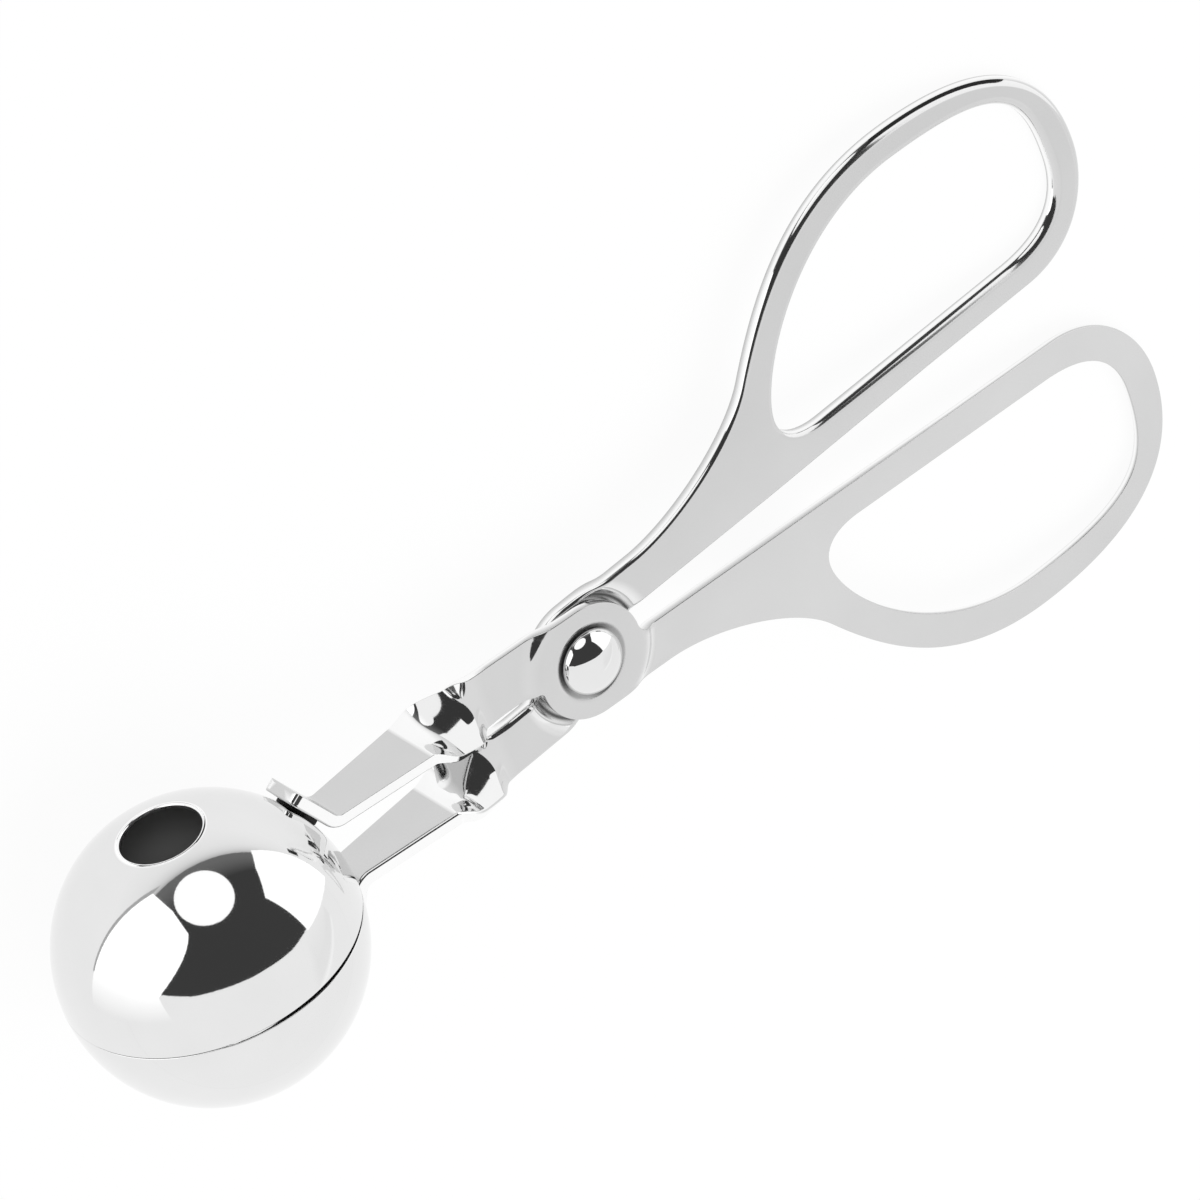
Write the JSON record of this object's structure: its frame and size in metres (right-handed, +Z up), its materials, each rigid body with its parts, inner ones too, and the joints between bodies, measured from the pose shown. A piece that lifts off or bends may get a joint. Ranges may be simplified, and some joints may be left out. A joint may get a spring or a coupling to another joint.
{
  "type": "meatball tongs",
  "caption": "Scissor-style steel tongs with flat finger loops, twisted arms and vented half-ball cups that close into a hollow ball to shape meatballs.",
  "frame": {"origin": "middle of the footprint at table height, under the tongs as they lie on the ball and on the tips of the finger loops", "axes": "+X from the ball toward the finger loops, +Y toward the upper cup, +Z up from the table"},
  "size_m": [0.2002, 0.0908, 0.046],
  "materials": {
    "satin_steel": "satin stainless steel",
    "polished_steel": "mirror-polished stainless steel"
  },
  "bodies": {
    "front_half": {"front_lever": "satin_steel", "upper_cup": "polished_steel", "pivot_rivet": "polished_steel"},
    "back_half": {"back_lever": "satin_steel", "lower_cup": "polished_steel"}
  },
  "joints": [
    {"name": "scissor_pivot", "type": "hinge", "parent": "front_half", "child": "back_half", "pos_m": [-0.00534, 0, 0.01312], "axis": [0.1144, 0, 0.9934], "range_deg": [0, 34]}
  ]
}
